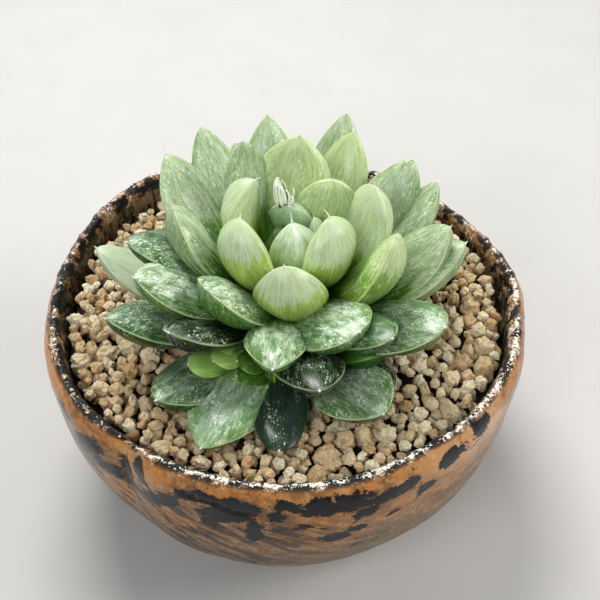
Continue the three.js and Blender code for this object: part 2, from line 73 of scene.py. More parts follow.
# name, azimuth, reach and height of the tip, turn and height of the root, width, bow, roll, point, look
LEAVES = [
    ("e", -131, 14.6, 89, 38, 66, 16.5, 4, 0, 0.7, "inner"),
    ("d", -46, 14.6, 89, 0, 66, 16.5, 4, 0, 0.7, "inner"),
    ("f", -70, 5.4, 83, 0, 63, 12.5, 0.5, 0, 0.8, "heart"),
    ("heart_a", 68, 3, 81.5, 0, 66, 12, 0.5, 0, 0.5, "grey"),
    ("heart_b", -5, 7, 80.5, 0, 68, 7, 1, 0, 0.6, "grey"),
    ("c", 152, 8, 88, 15, 67, 15, 4, 0, 0.8, "inner"),
    ("b", 24, 12.4, 87.3, 32, 67, 14.5, 2, 60, 0.5, "inner_green"),
    ("a", 80, 21, 89, 24, 65, 19, 4, 0, 0.8, "inner_green"),
    ("q", -1, 21, 89, 0, 64, 18, 4, 25, 0.5, "inner"),
    ("h", 119, 21, 89, 0, 63, 13, 4, 0, 0.7, "middle"),
    ("g", -89.3, 22, 84.5, 26, 62, 16.9, 4, 0, 0.6, "inner"),
    ("u", -30.5, 28.8, 86.7, 0, 60, 18.4, 4, 8, 0.7, "inner_green"),
    ("n", -166, 25.6, 87.9, 0, 60, 18, 2, 0, 0.7, "middle"),
    ("k", 60, 34, 84, 0, 60, 15, 5, 0, 0.7, "inner_green"),
    ("o", 34, 38, 81.6, 0, 57, 15, 4, 30, 0.7, "middle"),
    ("m", 141, 38, 81.5, 20, 56, 17, 2, 0, 0.8, "middle"),
    ("l", 123, 39.4, 83, -4, 58, 14, 4, 0, 0.7, "middle"),
    ("behind_h", 111, 36, 78, 0, 57, 14, 4, 0, 0.7, "middle"),
    ("i", 97, 39, 83, 0, 58, 15, 5, 0, 0.8, "middle"),
    ("j", 67, 40, 84.7, 0, 57, 15, 5, 0, 0.8, "middle"),
    ("aa", -125, 29.5, 80, 25, 59, 17, 1, -15, 0.5, "window_and_sheen"),
    ("s", -6, 38.6, 80.7, 0, 56, 16, 4, 20, 0.7, "middle"),
    ("cc", -63, 36.6, 75, -24, 58.5, 18.5, 0, 18, 0.45, "window_and_sheen"),
    ("v", -147, 39, 80.5, 0, 60, 17, 1, -15, 0.7, "window_and_sheen"),
    ("x", -163, 37, 82, -10, 61, 15, -1, 0, 0.7, "outer"),
    ("p", 43, 40.5, 75.5, 0, 56, 14, 4, 10, 0.7, "middle"),
    ("r", 24, 41, 78, 0, 55, 14, 5, 0, 0.7, "middle"),
    ("t", -5, 42.6, 75.6, 0, 54, 16, 3.5, 0, 0.7, "middle"),
    ("bb", -93, 41, 72, 0, 56, 14.5, -2, 0, 0.8, "window_and_sheen"),
    ("z", -127, 41, 75, 0, 56.5, 13.5, 2, 0, 0.6, "dark"),
    ("dd", -55, 41, 74, 0, 55, 13.5, 0, 12, 0.5, "outer"),
    ("w", 180, 45, 71, 0, 53, 15, 3, 0, 0.7, "pale"),
    ("y", -151, 46, 69, 0, 53, 17, 1.5, 0, 0.8, "outer"),
    ("ee", -37, 45, 71, 0, 53, 18, 1, 10, 0.5, "green"),
    ("ff", -80, 45, 69, 0, 52, 16, 0, 0, 0.7, "dark"),
    ("hh", -50, 35, 62, 0, 52, 14, 1, 0, 0.7, "plain"),
    ("gg", -62.5, 47.5, 59, 0, 50, 18.5, 2, 12, 0.7, "green"),
    ("jj", -111, 50.5, 53.5, 14, 54, 19.5, 0.5, 0, 0.8, "glassy"),
    ("kk", -127, 47, 58.5, 0, 53, 17, 3, 0, 0.7, "outer"),
    ("ll", -91, 49, 55, 0, 53, 12.5, 1, 0, 0.4, "night"),
    ("ii", -51, 40, 55.5, 0, 53, 12, 1, 0, 0.7, "dark"),
    ("back_a", 10, 44, 65, 0, 53, 14, 3, 0, 0.7, "outer"),
    ("back_b", 45, 46, 65, 0, 53, 15, 3, 0, 0.7, "outer"),
    ("back_c", 82, 46, 67, 0, 54, 15, 3, 0, 0.7, "window_and_sheen"),
    ("back_d", 112, 47, 66, 0, 53, 15, 3, 0, 0.7, "outer"),
    ("back_e", 138, 41, 62, 0, 53, 15, 3, 0, 0.7, "dark"),
    ("back_f", 28, 48, 57, 0, 53, 14, 2, 0, 0.7, "dark"),
    ("back_g", 66, 48, 57, 0, 53, 15, 2, 0, 0.7, "outer"),
    ("back_h", 130, 44, 57, 0, 53, 15, 2, 0, 0.7, "outer"),
    ("back_i", 168, 42, 57, 0, 53, 13, 2, 0, 0.7, "dark"),
]

# The looks that aren't named here belong to the outer leaves
SLOT_OF_LOOK = {
    "heart": "leaf_inner", "inner": "leaf_inner", "inner_green": "leaf_inner",
    "middle": "leaf_middle", "window_and_sheen": "leaf_middle",
}

# The bristle at a tip: its length, and how far its end bends to the right and upwards
BRISTLE_USUAL = (0.9, 0, 0.1)
BRISTLES = {
    "m": (2.6, 0.5, 1.2), "f": (2.8, -0.1, 0.3), "c": (1.9, 0.9, 0), "d": (1.9, -1, 0), "e": (1.1, 0.3, 0),
    "h": (1.6, 1, -0.2), "a": (1, -0.3, 0), "i": (1.5, 0.3, 0.2), "j": (1.7, 0.3, 0.2),
    "l": (1.5, -0.3, 0.2), "o": (1.4, -0.4, 0.3), "z": (1.8, -0.3, 0.9), "g": (0.5, -0.1, 0.2),
    "jj": (0.5, 0, 0), "bb": (0.4, 0, 0), "ff": (0.4, 0, 0), "cc": (0.4, 0, 0), "ll": (0.4, 0, 0),
}

# Where along the leaf the pale half begins, 0 at the root and 1 at the tip
PALE_USUAL = 0.55
PALE_FROM = {
    "e": 0.72, "g": 0.76, "d": 0.64, "c": 0.52, "f": 0.4, "a": 0.3, "b": 0.5, "q": 0.52, "u": 0.8,
    "h": 0.4, "k": 0.4, "n": 0.6, "m": 0.5, "l": 0.45, "i": 0.45, "j": 0.45, "o": 0.5, "w": 0.35,
}

# crown and its radius, look, then root x, y, z, tip x, y, z and width of each leaf
PUPS = {
    "pup_left": ((-11.5, -22, 56.5), 3.6, "pup", [
        (-12, -24, 56.5, -22, -26.8, 58.8, 8.5),
        (-9.5, -22.8, 59.4, -16, -27.4, 60.6, 7.5),
        (-10, -21, 59.5, -16.2, -23.2, 63.4, 8),
        (-11.5, -22.5, 53, -19.5, -25.2, 52.6, 7),
    ]),
    # The right pup wears a copy of the pup look darkened as painted shade
    "pup_right": ((-2.2, -26.2, 56.2), 3.6, "pup_deep", [
        (-2.5, -25.5, 59, -10.6, -27.2, 60.4, 7.5),
        (-1.5, -26.5, 56, -10.8, -28.4, 56.6, 8),
        (-1, -27.5, 53, -9, -29.8, 53.2, 7.5),
    ]),
}
PUP_BOW = 0.6
PUP_POINT = 0.45


# Small helpers
def srgb(*channels):
    """A colour of 0 to 255 per channel as linear RGBA."""
    shares = (value / 255 for value in channels)
    linear = (s / 12.92 if s <= 0.04045 else ((s + 0.055) / 1.055) ** 2.4 for s in shares)
    return (*linear, 1)


def unit(v):
    return v / np.linalg.norm(v)


def smooth(value, low, high):
    share = np.clip((value - low) / (high - low), 0, 1)
    return share * share * (3 - 2 * share)


def polar(azimuth, radius, height):
    return np.array([radius * math.cos(azimuth * RAD), radius * math.sin(azimuth * RAD), height])


def away_from(azimuth, centre):
    """Degrees from the centre to the azimuth, -180 to 180."""
    return (azimuth - centre + 540) % 360 - 180


def turned_about(v, axis, degrees):
    c, s = math.cos(degrees * RAD), math.sin(degrees * RAD)
    return v * c + np.cross(axis, v) * s + axis * np.dot(axis, v) * (1 - c)


def curve_at(curve, t):
    """A point of a curve with three control points, and its direction there."""
    a, b, c = curve
    point = (1 - t) ** 2 * a + 2 * t * (1 - t) * b + t * t * c
    return point, unit((1 - t) * (b - a) + t * (c - b))


def rough_field(points, scale, seed, octaves=3):
    """Soft noise at each point, about -1 to 1. Scale is the size of its lumps in millimetres."""
    shift = np.array([seed * 17.3, seed * 5.1, seed * 9.7])
    return np.array([noise.fractal(Vector(p / scale + shift), 1.0, 2.0, octaves) for p in points])


def make_piece(name, points, faces, materials, node, slot, maps=None, face_material=None, soft=True):
    """A smooth mesh from millimetre points that rides with the pot and stands for a solid."""
    mesh = bpy.data.meshes.new(name)
    mesh.from_pydata((np.asarray(points) * MM).tolist(), [], faces)
    for material in materials:
        mesh.materials.append(material)
    mesh.polygons.foreach_set("use_smooth", [soft] * len(mesh.polygons))
    if face_material is not None:
        mesh.polygons.foreach_set("material_index", face_material)
    for title, values in (maps or {}).items():
        values = np.asarray(values, np.float32)
        kind, key = ("FLOAT", "value") if values.ndim == 1 else ("FLOAT_VECTOR", "vector")
        mesh.attributes.new(title, kind, "POINT").data.foreach_set(key, values.ravel())
    mesh.update()
    piece = bpy.data.objects.new(name, mesh)
    bpy.context.scene.collection.objects.link(piece)
    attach(piece, "root")
    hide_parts(node)


def tube_faces(rows, sides):
    """Quads over a stack of rings. The two points after the rings close its start and its end."""
    faces = []
    for row in range(rows - 1):
        for i in range(sides):
            a = row * sides + i
            b = row * sides + (i + 1) % sides
            faces.append((a, b, b + sides, a + sides))
    start, end, last = rows * sides, rows * sides + 1, (rows - 1) * sides
    for i in range(sides):
        j = (i + 1) % sides
        faces += [(start, j, i), (end, last + i, last + j)]
    return faces


def joined(parts, first=0):
    """Several meshes as one: points, faces and what else each has. First is the number of points before."""
    faces = []
    for points, corners, *_ in parts:
        faces += [tuple(i + first for i in face) for face in corners]
        first += len(points)
    points, *others = (np.concatenate(values) for k, values in enumerate(zip(*parts)) if k != 1)
    return points, faces, *others


# Node writing
class Paint:
    """Writes a material's nodes. Colours are 0 to 255 per channel, lengths millimetres."""

    def __init__(self, name):
        self.material = bpy.data.materials.new(name)
        self.material.use_nodes = True
        self.tree = self.material.node_tree
        self.tree.nodes.clear()
        self.colour = None

    def node(self, kind, inputs, output=0, **settings):
        """One node with its settings and inputs, which are values or outputs of other nodes."""
        made = self.tree.nodes.new(f"ShaderNode{kind}")
        for key, value in settings.items():
            setattr(made, key, value)
        for key, value in inputs.items() if isinstance(inputs, dict) else enumerate(inputs):
            if isinstance(value, bpy.types.NodeSocket):
                self.tree.links.new(value, made.inputs[key])
            elif value is not None:
                made.inputs[key].default_value = value
        return made.outputs[output]

    def field(self, title, output="Fac"):
        return self.node("Attribute", [], output, attribute_name=title)

    def place(self, stretch=1):
        """Where a point lies, drawn out along Z by the stretch."""
        return self.scaled(self.node("TexCoord", [], "Object"), 1 / MM, 1 / MM, stretch / MM)

    def scaled(self, vector, x, y, z, shift=(0, 0, 0)):
        return self.node("VectorMath", [vector, (x, y, z), shift], operation="MULTIPLY_ADD")

    def split(self, vector):
        return [self.node("SeparateXYZ", [vector], axis) for axis in range(3)]

    def join(self, x, y, z):
        return self.node("CombineXYZ", [x, y, z])

    def math(self, operation, *values):
        return self.node("Math", values, operation=operation)

    def product(self, *values):
        result = values[0]
        for value in values[1:]:
            result = self.math("MULTIPLY", result, value)
        return result

    def plus(self, value, extra, share=1, centre=None):
        """The value and a share of the extra, which counts from its centre."""
        if centre is not None:
            extra = self.math("SUBTRACT", extra, centre)
        return self.math("MULTIPLY_ADD", extra, share, value)

    def step(self, *numbers):
        """A soft step: the value, its low and high end, and what they turn into, 0 and 1 if not given."""
        return self.node("MapRange", numbers, interpolation_type="SMOOTHSTEP", clamp=True)

    def noise(self, vector, scale, detail=3, roughness=0.55, distortion=0, output="Fac"):
        inputs = {"Vector": vector, "Scale": scale, "Detail": detail}
        inputs.update(Roughness=roughness, Distortion=distortion)
        return self.node("TexNoise", inputs, output)

    def cells(self, vector, scale=1, output="Distance", feature="F1"):
        return self.node("TexVoronoi", {"Vector": vector, "Scale": scale}, output, feature=feature)

    def spots(self, vector, scale=1):
        """A number of 0 to 1 drawn for each cell, and the distance from its middle."""
        return self.split(self.cells(vector, scale, "Color"))[0], self.cells(vector, scale)

    def mix(self, share, a, b):
        a, b = (srgb(*tone) if isinstance(tone, tuple) else tone for tone in (a, b))
        return self.node("Mix", {0: share, 6: a, 7: b}, 2, data_type="RGBA")

    def over(self, colour, tone, *shares):
        """A tone over a colour, as thick as the product of the shares."""
        return self.mix(self.product(*shares), colour, tone)

    def lay(self, tone, *shares):
        """Lays a tone over the colour that the skin has so far."""
        self.colour = self.over(self.colour, tone, *shares)

    def bump(self, height, strength, distance, before=None):
        """Relief with its depth in metres, on top of the relief before it."""
        inputs = {"Strength": strength, "Distance": distance, "Height": height, "Normal": before}
        return self.node("Bump", inputs)

    def surface(self, roughness, normal=None, **settings):
        inputs = {"Base Color": self.colour, "Roughness": roughness, "Normal": normal}
        inputs.update((title.replace("_", " "), value) for title, value in settings.items())
        out = self.tree.nodes.new("ShaderNodeOutputMaterial")
        self.tree.links.new(self.node("BsdfPrincipled", inputs), out.inputs[0])
        return self.material


def mottled_skin(
    name, scale, detail, dark, light, roughness, relief=None, steps=(0.35, 0.65), stretch=1, **settings
):
    """A plain skin: one noise mixes two colours, and the same noise makes the relief."""
    p = Paint(name)
    tone = p.noise(p.place(stretch), scale, detail)
    p.colour = p.mix(p.step(tone, *steps) if steps else tone, dark, light)
    return p.surface(roughness, p.bump(tone, *relief) if relief else None, **settings)


# Leaf skin. The field "leaf" holds across (-1 to 1), along (0 to 1) and face (1 above, -1 below)
# Colours of the root, the middle, the glassy window with its painted sheen, the pale half and the lower
# face,
# then shares: veil over the pale half, green lines in it, pale streaks below it, marbling, net, flecks,
# window and painted sheen, cover of the lower face
LOOKS = {
    "inner": ((62, 116, 12), (164, 190, 88), (184, 204, 156), (200, 216, 180), (164, 190, 88),
        0.9, 0.7, 0.2, 0, 0, 0.55, 0.1, 0),
    "inner_green": ((44, 100, 4), (116, 158, 50), (166, 188, 142), (206, 220, 170), (116, 158, 50),
        0.72, 0.6, 0.62, 0.1, 0.35, 0.65, 0.4, 0),
    "heart": ((66, 114, 26), (128, 166, 78), (176, 200, 156), (216, 226, 208), (128, 166, 78),
        0.75, 0.7, 0.45, 0, 0, 0.6, 0.3, 0),
    "grey": ((52, 92, 40), (136, 166, 116), (160, 186, 154), (192, 210, 182), (136, 166, 116),
        0.35, 0.4, 0.2, 0, 0, 0.3, 0.7, 0),
    "middle": ((28, 86, 2), (80, 130, 28), (160, 180, 150), (210, 222, 190), (92, 142, 38),
        0.5, 0.65, 0.5, 0.2, 0.3, 0.65, 0.5, 0.3),
    "window_and_sheen": ((44, 102, 10), (74, 128, 28), (174, 192, 176), (214, 226, 200), (88, 136, 38),
        0.1, 0.4, 0.36, 0.52, 0.6, 0.85, 0.8, 0.8),
    "glassy": ((100, 152, 58), (104, 156, 66), (154, 176, 160), (216, 228, 198), (70, 118, 28),
        0.1, 0.4, 0.3, 0.5, 0.5, 0.85, 0.9, 0.8),
    # On the darker outer looks the root and lower face colours are deepened as painted shade
    "outer": ((16, 54, 1), (46, 94, 22), (118, 142, 122), (196, 212, 182), (40, 82, 14),
        0.05, 0.35, 0.22, 0.22, 0.35, 0.8, 0.65, 0.85),
    "pale": ((60, 108, 30), (150, 176, 116), (186, 204, 170), (214, 226, 200), (150, 176, 116),
        0.65, 0.5, 0.3, 0, 0, 0.3, 0.4, 0.3),
    "green": ((24, 74, 2), (66, 116, 36), (146, 170, 148), (206, 220, 190), (70, 118, 28),
        0.08, 0.35, 0.4, 0.32, 0.4, 0.9, 0.75, 0.8),
    "dark": ((3, 14, 0), (11, 32, 6), (38, 60, 44), (176, 194, 162), (8, 24, 3),
        0, 0.3, 0.1, 0.1, 0.25, 0.65, 0.5, 0.9),
    "plain": ((16, 60, 2), (40, 90, 10), (46, 96, 20), (104, 148, 60), (24, 66, 4),
        0.1, 0.2, 0.3, 0, 0, 0.1, 0.1, 0.5),
    "night": ((5, 16, 6), (18, 40, 24), (66, 88, 78), (214, 212, 156), (6, 14, 5),
        0, 0.2, 0, 0, 0, 0.95, 0.75, 0.9),
    "pup": ((40, 86, 10), (160, 204, 98), (156, 196, 104), (192, 216, 142), (56, 108, 18),
        0.2, 0.3, 0.25, 0, 0, 0.2, 0.1, 0.6),
    # The pup look darkened as painted shade
    "pup_deep": ((10, 34, 1), (54, 96, 18), (60, 100, 26), (130, 166, 78), (20, 54, 2),
        0.1, 0.3, 0.25, 0, 0, 0.2, 0.1, 0.6),
}

# How often the marks repeat across a leaf and along it: first over the whole leaf, then in a millimetre
STREAKS = (16, 4.5)
FINE_STREAKS = (38, 10)
DROPS = (13, 15, 1.2)
HAIRS = (4.4, 0.3)
CLOUDS = (0.25, 0.12, 1.2)
BLOTS = (0.62, 0.27, 1.2)
DUSK_PATCHES = (0.85, 0.32, 1.4)
NET = (0.62, 0.26, 0.4)
NET_WARP = (0.6, 0.3)

# Cells of the flecks: how many in a millimetre across a leaf and along it, and their size
FLECKS = [(1.2, 0.5, 0.34), (1.8, 0.85, 0.36), (3, 1.5, 0.38)]

# All leaf colours are this much deeper than the table says
LEAF_TONE = 0.95
# Whitish band down the middle of the heart leaves: a painted highlight
HEART_HIGHLIGHT = (228, 232, 226)

# Share of the dark green patches that break up the windows
DUSK = {"window_and_sheen": 0.55, "outer": 0.45, "green": 0.35, "glassy": 0.5, "dark": 0.4, "middle": 0.14}


def leaf_skin(look):
    base, body, window_and_sheen, pale, below = (tuple(LEAF_TONE * c for c in tone) for tone in LOOKS[look][:5])
    veil, green_lines, pale_streaks, marbling, net_share, fleck_share, window_and_sheen_share, cover = LOOKS[look][5:]
    lighter = tuple(min(c * 1.22 + 8, 255) for c in body)
    darker = tuple(c * 0.72 for c in body)
    dim = tuple(0.4 * a + 0.56 * b for a, b in zip(pale, body))
    bright = tuple(min(c + 20, 238) for c in pale)
    cream = (pale[0], pale[1], pale[2] - 24)
    night = look == "night"
    p = Paint(f"leaf_{look}")
    step, lay = p.step, p.lay
    leaf, flat = p.field("leaf", "Vector"), p.field("flat", "Vector")
    seed, pale_from = p.field("seed"), p.field("pale_from")
    across, along, face = p.split(leaf)
    side = p.math("ABSOLUTE", across)
    shift = p.join(seed, p.product(seed, 1.7), p.product(seed, 0.6))

    def stretched(x, y, z=0.5):
        return p.scaled(leaf, x, y, z, shift)

    def spread(x, y, z=0.5):
        return p.scaled(flat, x, y, z, shift)

    # Streaks run along the leaf and close up at its tip, the other marks keep their size all over it
    streak = p.noise(stretched(*STREAKS), 1, 2, 0.5)
    hair = p.noise(spread(*HAIRS) if cover else stretched(*FINE_STREAKS), 1, 2, 0.6)
    cloud = p.noise(spread(*CLOUDS), 1, 3)
    blot = p.noise(spread(*BLOTS), 1, 4, 0.62)
    threads = p.plus(p.product(streak, 0.4), hair, 0.6)

    # The green of the root climbs between the pale streaks like the teeth of a comb
    # Towards the root the darker looks fall into painted shade
    p.colour = p.mix(step(along, 0.18, 0.55), base, body)
    lay(lighter, step(cloud, 0.42, 0.68), 0.6)
    lay(darker, step(threads, 0.5, 0.4), 0.35)
    edge = p.plus(-0.04, step(streak, 0.34, 0.66), 0.08)
    edge = p.plus(edge, cloud, 0.14, 0.5)
    edge = p.plus(edge, along, 1, pale_from)
    ground = p.over(pale, dim, step(threads, 0.54, 0.43), green_lines)
    lay(ground, step(edge, -0.025, 0.05), veil)

    # Drops of the pale half hang below its edge
    draw, away = p.spots(stretched(*DROPS))
    size = p.product(step(edge, -0.2, 0), draw, 0.6)
    drop = step(p.math("SUBTRACT", size, away), -0.08, 0.08)
    lay(pale, drop, veil, 0.65)

    # The window: a glassy patch in the middle of the outer half, whitened as a painted sheen too
    glass_and_sheen = p.product(
        step(side, 0.9, 0.4), step(along, 0.4, 0.66), step(along, 1, 0.88, 0.5, 1),
        step(face, -0.2, 0.3), step(threads, 0.4, 0.54, 0.5, 1), step(cloud, 0.36, 0.56, 0.45, 1),
        window_and_sheen_share,
    )
    lay(window_and_sheen, glass_and_sheen)

    # Pale streaks, broken into dashes
    dashes = p.product(step(threads, 0.52, 0.6), step(along, 0.3, 0.5), step(blot, 0.38, 0.56, 0.35, 1))
    lay(pale, dashes, pale_streaks)

    # Marbling and a loose net of pale lines over the outer half
    rising = step(along, 0.42, 0.68)
    lay(pale, step(blot, 0.52, 0.6), rising, marbling)
    warp = p.noise(spread(*NET_WARP), 1, 2, output="Color")
    net = p.cells(p.scaled(warp, 1.8, 1.8, 0, spread(*NET)), feature="DISTANCE_TO_EDGE")
    lay(pale, step(net, 0.1, 0.02), rising, step(cloud, 0.4, 0.56), net_share)

    if cover:
        dusk = p.noise(spread(*DUSK_PATCHES), 1, 4, 0.6, 0.4)
        lay(darker, step(dusk, 0.49, 0.6), step(along, 0.35, 0.6), DUSK.get(look, 0))
        # The lower face, deepened as painted shade on the darker looks
        under = p.mix(step(threads, 0.4, 0.6), base, below)
        lay(under, step(face, 0.1, -0.2), cover)

    # A painted highlight down the middle of the heart leaves
    if look == "heart":
        band = p.product(step(side, 0.34, 0.08), step(along, 0.45, 0.8))
        lay(HEART_HIGHLIGHT, band, step(threads, 0.38, 0.5, 0.4, 0.8))

    # Flecks: short white dashes, thicker towards the tip
    for wide, long, big in FLECKS:
        draw, away = p.spots(spread(wide, long, 2))
        size = p.product(draw, big, step(cloud, 0.36, 0.6, 0.25, 1))
        shares = [step(p.math("SUBTRACT", size, away), -0.04, 0.05), step(along, 0.25, 0.55)]
        shares += [step(face, -0.3, 0.1, 0.5, 1), fleck_share]
        if night:
            shares.append(step(side, 0.75, 0.35))
        lay(bright, *shares)

    # Thin pale margins and a whitish tip
    if not night:
        rim = p.product(step(side, 0.974, 0.99), step(along, 0.15, 0.45, 0.2, 1))
        lay(cream, rim, step(cloud, 0.3, 0.6, 0.4, 0.9))
        tip = p.plus(along, streak, 0.3, 0.5)
        lay(pale, step(tip, 0.93, 1.03), 0.25 if cover else 0.5)

    relief = p.plus(p.product(streak, 0.8), hair, 0.6)
    normal = p.bump(relief, 0.2, 0.0004)
    normal = p.bump(p.noise(p.place(), 2.6, 2), 0.12, 0.0001, normal)
    gloss = step(p.plus(streak, glass_and_sheen, -0.25), 0.25, 0.7, 0.2, 0.32)
    return p.surface(
        gloss, normal, Subsurface_Weight=0.1, Subsurface_Radius=(0.6, 1.0, 0.35),
        Subsurface_Scale=0.0015, Specular_IOR_Level=0.42,
    )


# Leaf form
LEAF_ROWS = 54
LEAF_SIDES = 44
# How much closer the rows lie towards the tip
ROW_CROWDING = 1.55
# How square the two faces are across the leaf, and how thin they run out to the margin
UPPER_ARCH = 2.6
LOWER_ARCH = 2.1
MARGIN_POWER = 0.8
# The groove beside the margin: its place from the middle to the margin, its width and depth
GROOVE = (0.88, 0.06, 0.1)
RIPPLE = 0.015
LEAN_LIMIT = 0.35
BRISTLE_ROWS = 8
BRISTLE_TAPER = 0.75


def swelling(t, root, order, power):
    """Share of full size along a leaf: it grows from the root, and closes to nothing at the tip."""
    rising = root + (1 - root) * np.sin(np.pi / 2 * np.minimum(t, LEAF_WIDEST) / LEAF_WIDEST)
    s = np.clip((t - LEAF_WIDEST) / (1 - LEAF_WIDEST), 0, 1)
    return float(np.where(t < LEAF_WIDEST, rising, np.power(1 - s**order, power)))


def stem_radius(height):
    radii, heights = zip(*STEM_PROFILE)
    return float(np.interp(height, heights, radii))


def leaf_mesh(
    root, tip, azimuth, width, thick, bow, roll, point, seed,
    rows=LEAF_ROWS, sides=LEAF_SIDES, bristle=BRISTLE_USUAL,
):
    """Points, faces, leaf field and face materials of one leaf and its bristle."""
    draw = random.Random(seed)
    chord = tip - root
    long = float(np.linalg.norm(chord))
    level = np.cross((0, 0, 1), polar(azimuth, 1, 0))
    away = unit(np.cross(level, chord))
    curve = (root, (root + tip) / 2 + away * 2 * bow, tip)
    turns = [draw.uniform(0, 6.28) for _ in range(3)]
    lean = draw.uniform(-LEAN_LIMIT, LEAN_LIMIT)
    angles = np.arange(sides) * 2 * np.pi / sides
    cos, sin = np.cos(angles), np.sin(angles)
    edge = np.abs(cos)
    # The upper face is a low arch, the lower one swells to a blunt keel, and they meet in a thin margin
    upper = FACE_SHARE * np.power(1 - edge**UPPER_ARCH + 1e-9, MARGIN_POWER)
    lower = (1 - FACE_SHARE) * np.power(1 - edge**LOWER_ARCH + 1e-9, MARGIN_POWER)
    arch = np.where(sin > 0, upper, -lower)
    oval = sin * np.where(sin > 0, FACE_SHARE, 1 - FACE_SHARE)
    groove_at, groove_width, groove_depth = GROOVE
    groove = groove_depth * np.exp(-(((edge - groove_at) / groove_width) ** 2)) * np.sign(sin)
    points, field = [], []

    def frame_at(t):
        middle, along = curve_at(curve, t)
        side = unit(level - along * np.dot(level, along))
        side = turned_about(side, along, roll)
        return middle, along, side, np.cross(along, side)

    def add_ring(middle, side, up, half, rise, t):
        points.append(middle + np.outer(cos * half, side) + np.outer(rise, up))
        field.append(np.stack([cos, np.full(sides, t), sin, cos * half, np.full(sides, t * long)], 1))

    for t in 1 - np.power(1 - np.linspace(0, 1, rows), ROW_CROWDING):
        middle, along, side, up = frame_at(t)
        ripple = 1 + RIPPLE * math.sin(7 * t + turns[0]) * smooth(t, 0.1, 0.4)
        half = max(width / 2 * swelling(t, ROOT_SHARE, 2, point) * ripple, TIP_RADIUS)
        deep = max(thick * swelling(t, ROOT_THICK, 3, MARGIN_POWER), 2 * TIP_RADIUS)
        middle = middle + side * lean * math.sin(math.pi * t) * 0.8
        # Near the tip the section turns round
        section = arch + (oval - arch) * smooth(t, 0.93, 1)
        rise = section * deep - groove * smooth(t, 0.2, 0.45) * (1 - smooth(t, 0.85, 0.97))
        swell = 0.05 * np.sin(2.2 * cos + 5 * t + turns[1]) + 0.03 * np.sin(5 * cos - 9 * t + turns[2])
        rise = rise + swell * deep * 0.5 * sin * smooth(t, 0.1, 0.3) * (1 - smooth(t, 0.8, 1))
        add_ring(middle, side, up, half, rise, t)
    length, bend_right, bend_up = bristle
    crook = np.array([bend_right, 0, bend_up])
    for k in range(1, BRISTLE_ROWS):
        share = k / BRISTLE_ROWS
        middle = tip + along * length * share + crook * share * share
        radius = BRISTLE_RADIUS * (1 - BRISTLE_TAPER * share)
        add_ring(middle, side, up, radius, sin * radius, 1)
    points.append([root, tip + along * length + crook])
    field.append([[0, 0, 0, 0, 0], [0, 1, 0, 0, long]])
    faces = tube_faces(rows + BRISTLE_ROWS - 1, sides)
    skin = [0] * (sides * (rows - 1)) + [1] * (sides * (BRISTLE_ROWS - 1)) + [0, 1] * sides
    return np.concatenate(points), faces, np.concatenate(field), skin


bristle = mottled_skin(
    "bristle", 0.9, 2, (222, 228, 206), (248, 250, 240), 0.45, steps=(0.3, 0.7), Specular_IOR_Level=0.4
)
skins = {look: leaf_skin(look) for look in LOOKS}


def make_leaves(name, form, look, node, slot, seed, pale_from):
    """A leaf or a joined bunch of leaves as a piece, with what its skin reads at each point."""
    points, faces, field, skin = form
    maps = {
        "leaf": field[:, :3],
        "flat": field[:, [3, 4, 2]],
        "seed": np.full(len(points), seed),
        "pale_from": np.full(len(points), pale_from),
    }
    make_piece(name, points, faces, [skins[look], bristle], node, slot, maps, skin)


def build_leaves():
    for number, row in enumerate(LEAVES):
        name, azimuth, reach, height, turn, low, width, bow, roll, point, look = row
        root = polar(azimuth + turn, max(stem_radius(low) - 1, 1), low)
        tip = polar(azimuth, reach, height)
        thick = min(THICK_BASE + THICK_SHARE * width, THICK_LIMIT)
        form = leaf_mesh(
            root, tip, azimuth, width, thick, bow, roll, point, number + 1,
            bristle=BRISTLES.get(name, BRISTLE_USUAL),
        )
        slot = SLOT_OF_LOOK.get(look, "leaf_outer")
        pale_from = PALE_FROM.get(name, PALE_USUAL)
        make_leaves(f"blade_{name}", form, look, f"leaf_{name}", slot, 3.7 * number + 1, pale_from)


def build_pups():
    for number, (name, (crown, radius, look, leaves)) in enumerate(PUPS.items()):
        parts = []
        for k, (*start, x, y, z, width) in enumerate(leaves):
            root, tip = np.array(start), np.array([x, y, z])
            azimuth = math.atan2(y - start[1], x - start[0]) / RAD
            form = (root, tip, azimuth, width, 0.45 * width, PUP_BOW, 0, PUP_POINT, 70 + 5 * number + k)
            parts.append(leaf_mesh(*form, rows=36, sides=36, bristle=(0.5, 0.1, 0.2)))
        centre, up = np.array(crown), np.array([0, 0, radius])
        form = (centre - up, centre + up, 0, 2 * radius, 2 * radius, 0, 0, 0.5, 90 + number)
        parts.append(leaf_mesh(*form, rows=20, sides=24, bristle=(0.1, 0, 0)))
        make_leaves(f"{name}_leaves", joined(parts), look, name, "leaf_pup", 11.3 + number, 0.8)


# The bud in the heart: a short stalk and a bunch of thick pale bristles that bend over at the top
BUD_PLACE = (-0.2, 4.8, 0)
BUD_BASE = 74
BUD_NECK = 80.4
BUD_RADIUS = 1.4
BUD_LEAN = (-0.8, 0, 0)
BUD_FOLDS = 5

# turn, swell, then the radius and the height of its end
BUD_BRISTLES = [
    (160, 3.4, 0.6, 88.2),
    (185, 3.2, 0.2, 88.4),
    (205, 3.6, 0.4, 87.8),
    (228, 3.3, 0.6, 88),
    (250, 3, 0.8, 87.4),
    (272, 2.2, 0.9, 87),
    (292, 2.6, 1, 86.6),
    (115, 2.8, 0.7, 87.8),
    (140, 2.2, 0.3, 88),
    (70, 2.4, 1.2, 86.8),
    (215, 1.6, 0.5, 87.2),
    (262, 1.2, 0.2, 87.6),
    (318, 3, 1.9, 85.8),
    (335, 3.4, 3, 83.8),
    (20, 3.4, 3.2, 84.4),
]

